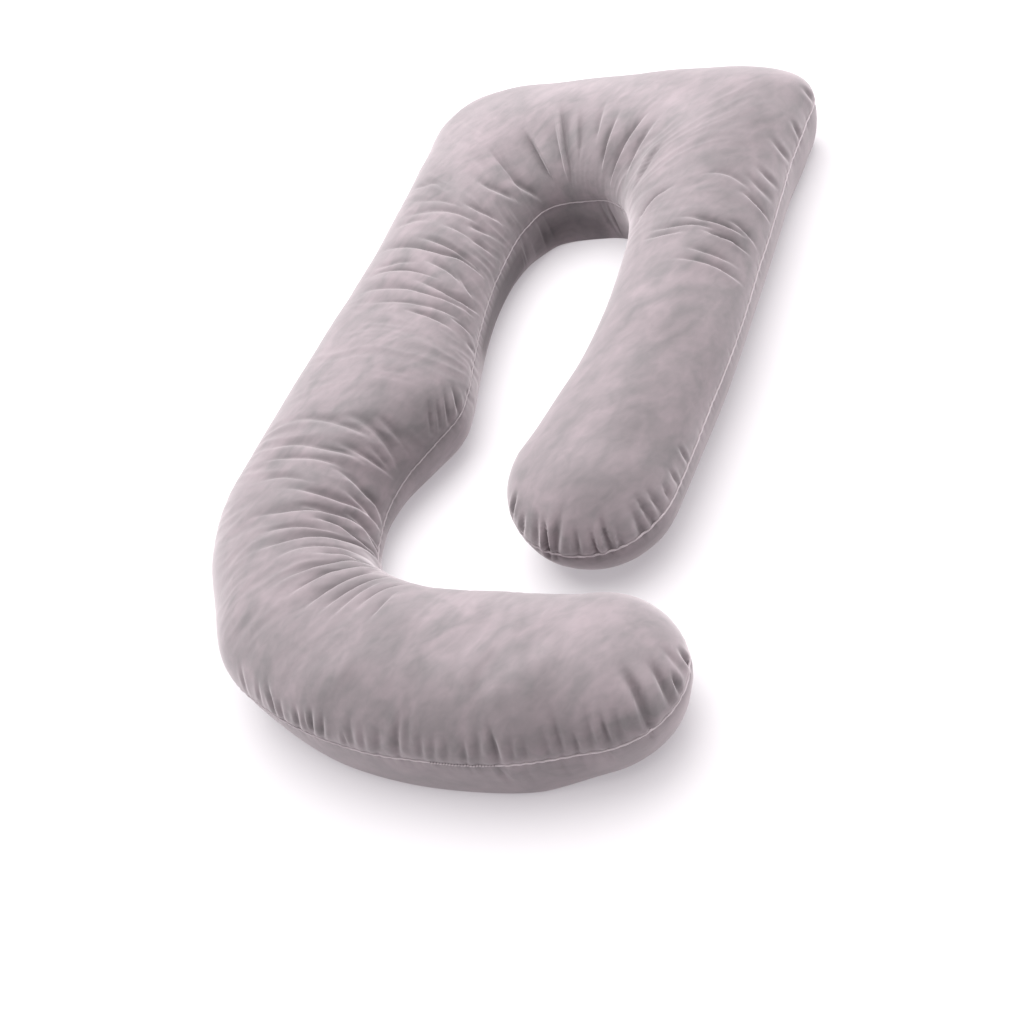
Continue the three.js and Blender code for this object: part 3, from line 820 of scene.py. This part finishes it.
SEAM_BEAD = 1.7  # radius of the turned edge that shows along the outer seam
INNER_BEAD = 1.2  # the same along the inner seam, where the curve pulls it in
BEAD_CHANGE = 60  # points of the seam over which one passes into the other
INNER_EDGE_PAINTED_SHADE = -0.5  # painted shade: how much darker the edge is made along the inner seam
LIT_EDGE_PAINTED_SHADE = -0.5  # painted shade: the same on the outer rim behind the head and the long arm, where it faces the soft box
SOFT_BOX_WAY = np.array([-0.6, 0.8, 0])  # the way that rim faces, towards the soft box
SEAM_PROUD = 0.5  # how far its middle stands out of the seam
SEAM_LIFT = 0.6  # how far its middle lies above the seam, on the top panel
BEAD_SIDES = 6  # round the edge and round a thread
CLOSING_FROM = (428, 761)  # pixels at the ends of the hand-sewn stretch
CLOSING_TO = (496, 764)
STITCH_STEP = 4.6  # from one stitch to the next
STITCH_LENGTH = 6
STITCH_SLANT = 0.5  # how far a stitch leans along the seam, for its height
STITCH_POINTS = 5  # along one stitch
STITCH_ARCH = 2.3  # how far the middle of a stitch stands out of the seam, over the turned edge
STITCH_THREAD = 0.4  # radius, drawn coarser than the real 0.2 mm so that it shows


def tube(path, radius, closed):
    """Points and faces of a round tube along a path, with its ends closed unless it is a loop."""
    count = len(path)
    ahead = np.roll(path, -1, axis=0) - np.roll(path, 1, axis=0)
    if not closed:
        ahead[0], ahead[-1] = path[1] - path[0], path[-1] - path[-2]
    ahead /= np.linalg.norm(ahead, axis=1, keepdims=True)
    aside = np.cross(ahead, UP)
    aside /= np.linalg.norm(aside, axis=1, keepdims=True)
    over = np.cross(aside, ahead)
    turn = 2 * np.pi * np.arange(BEAD_SIDES) / BEAD_SIDES
    radius = np.broadcast_to(radius, count)[:, None, None]
    ring = np.cos(turn)[None, :, None] * aside[:, None, :] + np.sin(turn)[None, :, None] * over[:, None, :]
    points = (path[:, None, :] + radius * ring).reshape(-1, 3)
    faces = []
    for i in range(count if closed else count - 1):
        for k in range(BEAD_SIDES):
            here, there = i * BEAD_SIDES, (i + 1) % count * BEAD_SIDES
            following = (k + 1) % BEAD_SIDES
            faces.append((here + k, here + following, there + following, there + k))
    if not closed:
        last = (count - 1) * BEAD_SIDES
        faces.append(tuple(range(BEAD_SIDES))[::-1])
        faces.append(tuple(last + k for k in range(BEAD_SIDES)))
    return points, faces


def rim_seam(seam, outward):
    """The turned edge of the top panel, a fine bead all round the rim, with painted shade along the inner
    seam and where the outer rim faces the soft box.
    """
    path = seam + outward * SEAM_PROUD * MM + UP * SEAM_LIFT * MM
    count = len(path)
    place = np.arange(count)
    half = count // 2
    inner = ease(place, half, half + BEAD_CHANGE) * (1 - ease(place, count - BEAD_CHANGE, count))
    radius = SEAM_BEAD + (INNER_BEAD - SEAM_BEAD) * inner
    bead = mesh_object("rim_seam", *tube(path, radius * MM, True))
    box_facing = np.clip(outward @ SOFT_BOX_WAY, 0, 1) * (1 - inner)
    lay_nap_and_shade(bead, np.repeat(inner * INNER_EDGE_PAINTED_SHADE + box_facing * LIT_EDGE_PAINTED_SHADE, BEAD_SIDES))
    return bead


def shown_at(points):
    """The pixels at which points show in the image."""
    right, up, view = (np.array(axis) for axis in camera_axes())
    rays = points - np.array(CAMERA_PLACE)
    across, below = (FOCAL * (rays @ axis) / (rays @ view) for axis in (right, -up))
    return np.stack([across, below], axis=1) + IMAGE / 2


def on_way(rows, run, place):
    """The row at a place along a run of rows."""
    return np.array([np.interp(place, run, column) for column in rows.T])


def closing_stitches(seam, outward):
    """The hand-sewn stitches over the turned edge that close the hook's outer seam, where the filling
    went in."""
    pixels = shown_at(seam)
    first, last = sorted(
        np.argmin(np.linalg.norm(pixels - np.array(end), axis=1)) for end in (CLOSING_FROM, CLOSING_TO)
    )
    stretch = seam[first:last + 1]
    out = outward[first:last + 1]
    ahead = np.gradient(stretch, axis=0)
    ahead /= np.linalg.norm(ahead, axis=1, keepdims=True)
    run = np.append(0, np.cumsum(np.linalg.norm(np.diff(stretch, axis=0), axis=1)))
    way = np.linspace(-0.5, 0.5, STITCH_POINTS)[:, None]
    bow = 1 - (2 * way) ** 2  # 0 at a stitch's ends, 1 in its middle
    points, faces = [], []
    for place in np.arange(STITCH_STEP * MM, run[-1], STITCH_STEP * MM):
        middle, forth, outside = (on_way(rows, run, place) for rows in (stretch, ahead, out))
        slant = (forth * STITCH_SLANT + UP) / math.hypot(STITCH_SLANT, 1)
        arch = outside * STITCH_ARCH * bow + UP * SEAM_LIFT
        stitch, sides = tube(middle + (slant * way * STITCH_LENGTH + arch) * MM, STITCH_THREAD * MM, False)
        faces.extend(tuple(len(points) + corner for corner in side) for side in sides)
        points.extend(stitch)
    return mesh_object("closing_stitches", points, faces)


# Materials

def add_node(tree, kind, links=None, **settings):
    """Adds a node, sets its properties and inputs, and links inputs to other nodes' outputs."""
    node = tree.nodes.new(kind)
    for name, value in settings.items():
        if hasattr(node, name):
            setattr(node, name, value)
        else:
            node.inputs[name.replace("_", " ")].default_value = value
    for name, output in (links or {}).items():
        tree.links.new(output, node.inputs[name])
    return node


def new_material(name):
    """A material, its nodes and its shader."""
    material = bpy.data.materials.new(name)
    material.use_nodes = True
    return material, material.node_tree, material.node_tree.nodes["Principled BSDF"]


def mottle(tree, where, size, **settings):
    """Smooth noise with marks of that size."""
    node = add_node(tree, "ShaderNodeTexNoise", {"Vector": where}, Scale=1 / size, **settings)
    return node.outputs["Fac"]


def set_ramp(ramp, low, low_colour, high, high_colour):
    """Sets the two ends of a colour ramp."""
    first, last = ramp.color_ramp.elements
    first.position, first.color = low, linear(low_colour)
    last.position, last.color = high, linear(high_colour)


STROKE_WAY = math.radians(55)  # the way a hand brushed the nap, from +X towards +Y
STROKE_LENGTH = 1.8  # how many times as long as wide a stroke is
PATCH = 45 * MM  # brushed patches of the nap
STREAK = 13 * MM  # streaks inside a patch
STREAK_SHARE = 0.33  # share of the streaks in the lean of the pile, the rest is that of the patches
LEAN_DARK = 0.32  # lean at which the pile is darkest
LEAN_LIGHT = 0.68  # lean at which it is lightest
NAP_AND_SHADE_RANGE = 0.55  # how much of its brightness the velvet loses or gains at -1 and 1 of the attribute that holds the lie of the nap with painted shade and painted light
SHEEN = 0.72  # light scattered at the tips of the pile
PILE = 1.6 * MM  # tufts of the pile, drawn coarser than the real 0.4 mm so that they show
PILE_HEIGHT = 1 * MM
PILE_BUMP = 0.1  # how strongly they shade the surface


def brushed_velvet(name, dark, light):
    """Polyester velvet with a short pile, brushed by hand: the pile leans this way and that, which
    gives lighter and darker patches, and it scatters light at its tips, so turned-away sides are pale. The
    nap attribute, which holds painted shade and painted light as well as the lie of the nap, darkens or
    lightens its colour and sheen."""
    material, tree, shader = new_material(name)
    where = add_node(tree, "ShaderNodeTexCoord").outputs["Object"]
    stroke = add_node(
        tree, "ShaderNodeMapping", {"Vector": where},
        vector_type="TEXTURE", Rotation=(0, 0, STROKE_WAY), Scale=(STROKE_LENGTH, 1, 1),
    ).outputs["Vector"]
    patch = mottle(tree, stroke, PATCH, Detail=2, Distortion=0.8)
    streak = mottle(tree, stroke, STREAK, Detail=2, Distortion=0.5)
    lean = add_node(tree, "ShaderNodeMix", {"A": patch, "B": streak}, Factor=STREAK_SHARE)
    tone = add_node(tree, "ShaderNodeValToRGB", {"Fac": lean.outputs["Result"]})
    set_ramp(tone, LEAN_DARK, dark, LEAN_LIGHT, light)
    # The nap attribute holds the lie of the nap together with painted shade and painted light; it scales
    # the colour and, below, the sheen
    nap_and_painted_shade = add_node(tree, "ShaderNodeAttribute", attribute_name="nap_and_painted_shade")
    shade = add_node(
        tree, "ShaderNodeMapRange", {"Value": nap_and_painted_shade.outputs["Fac"]},
        From_Min=-1, From_Max=1, To_Min=1 - NAP_AND_SHADE_RANGE, To_Max=1 + NAP_AND_SHADE_RANGE,
    )
    lit = add_node(
        tree, "ShaderNodeVectorMath", {"Vector": tone.outputs["Color"], "Scale": shade.outputs["Result"]},
        operation="SCALE",
    )
    tree.links.new(lit.outputs["Vector"], shader.inputs["Base Color"])

    pile = mottle(tree, where, PILE, Detail=2)
    bump = add_node(tree, "ShaderNodeBump", {"Height": pile}, Strength=PILE_BUMP, Distance=PILE_HEIGHT)
    tree.links.new(bump.outputs["Normal"], shader.inputs["Normal"])
    shader.inputs["Roughness"].default_value = 0.88
    shader.inputs["Specular IOR Level"].default_value = 0.2
    tips = add_node(tree, "ShaderNodeMath", {0: shade.outputs["Result"]}, operation="MULTIPLY")
    tips.inputs[1].default_value = SHEEN
    tree.links.new(tips.outputs["Value"], shader.inputs["Sheen Weight"])
    shader.inputs["Sheen Roughness"].default_value = 0.5
    shader.inputs["Sheen Tint"].default_value = linear("#f1e9ec")
    return material


TWIST = 1.1 * MM  # flecks along the thread, two of its plies wide


def polyester_thread():
    """Spun polyester sewing thread, darker than the velvet: its twisted plies leave it flecked
    and half matt."""
    material, tree, shader = new_material("polyester_thread")
    where = add_node(tree, "ShaderNodeTexCoord").outputs["Object"]
    tone = add_node(tree, "ShaderNodeValToRGB", {"Fac": mottle(tree, where, TWIST, Detail=1)})
    set_ramp(tone, 0.35, "#685f63", 0.65, "#80767a")
    tree.links.new(tone.outputs["Color"], shader.inputs["Base Color"])
    shader.inputs["Roughness"].default_value = 0.6
    shader.inputs["IOR"].default_value = 1.55
    return material


CLOUD = 700 * MM  # unevenness of the light in the sheet
GLOW = 0.38  # strength of that light


def lit_acrylic():
    """Opal acrylic sheet, sanded matt and lit from below: a quarter of its brightness is its own light,
    so shadows on it stay pale and fade out slowly, and that light is a little uneven."""
    material, tree, shader = new_material("lit_acrylic")
    where = add_node(tree, "ShaderNodeTexCoord").outputs["Object"]
    glow = add_node(tree, "ShaderNodeValToRGB", {"Fac": mottle(tree, where, CLOUD, Detail=1)})
    set_ramp(glow, 0.3, "#f4eef4", 0.7, "#fbf5fb")
    tree.links.new(glow.outputs["Color"], shader.inputs["Emission Color"])
    shader.inputs["Emission Strength"].default_value = GLOW
    shader.inputs["Base Color"].default_value = linear("#b0aeaf")
    shader.inputs["Roughness"].default_value = 0.95
    shader.inputs["IOR"].default_value = 1.49
    shader.inputs["Specular IOR Level"].default_value = 0.1
    return material


# Studio

FLOOR = 160  # metres, both ways
BOX_PLACE = Vector((-0.7, 1.1, 2.5))  # soft box over the head end
BOX_SIZE = 4.4  # metres across
BOX_POWER = 125  # watts
SKY_FROM = Vector((0.1, 0.95, 2.6))  # the way to the wide, even light overhead
SKY_SPREAD = math.radians(80)  # angle that it fills
SKY_STRENGTH = 3.5  # watts on a square metre that faces it
DOME_STRENGTH = 0.46  # light from all round the room


def floor():
    half = FLOOR / 2
    corners = [(-half, -half, 0), (half, -half, 0), (half, half, 0), (-half, half, 0)]
    sheet = mesh_object("floor", corners, [(0, 1, 2, 3)])
    sheet.data.materials.append(lit_acrylic())


def lamp(name, kind, place, **settings):
    """A lamp that shines from its place to the middle of the floor."""
    light = bpy.data.lights.new(name, kind)
    for setting, value in settings.items():
        setattr(light, setting, value)
    stand = bpy.data.objects.new(name, light)
    stand.location = place
    stand.rotation_euler = (-place).to_track_quat("-Z", "Y").to_euler()
    bpy.context.scene.collection.objects.link(stand)


def lights():
    lamp("soft_box", "AREA", BOX_PLACE, shape="DISK", size=BOX_SIZE, energy=BOX_POWER)
    lamp("sky", "SUN", SKY_FROM, angle=SKY_SPREAD, energy=SKY_STRENGTH)
    world = bpy.data.worlds.new("studio")
    world.use_nodes = True
    background = world.node_tree.nodes["Background"]
    background.inputs["Color"].default_value = linear("#fffbfd")
    background.inputs["Strength"].default_value = DOME_STRENGTH
    bpy.context.scene.world = world


def camera():
    right, up, view = camera_axes()
    lens = bpy.data.cameras.new("camera")
    lens.sensor_width = SENSOR
    lens.lens = FOCAL / IMAGE * SENSOR
    eye = bpy.data.objects.new("camera", lens)
    turn = Matrix((right, up, -view)).transposed().to_4x4()
    eye.matrix_world = Matrix.Translation(CAMERA_PLACE) @ turn
    bpy.context.scene.collection.objects.link(eye)
    bpy.context.scene.camera = eye
    bpy.context.scene.view_settings.view_transform = "Standard"


cover, seam, outward = velvet_cover()
cover.data.materials.append(brushed_velvet("brushed_velvet", "#706b6d", "#897e82"))
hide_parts("filled_cover")

bead = rim_seam(seam, outward)
# Paler than the cover: a painted highlight along the turned edge
bead.data.materials.append(brushed_velvet("velvet_edge_painted_highlight", "#bcb2b6", "#c8bec2"))
stitches = closing_stitches(seam, outward)
stitches.data.materials.append(polyester_thread())
for piece in (cover, bead, stitches):
    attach(piece, "root")

floor()
lights()
camera()
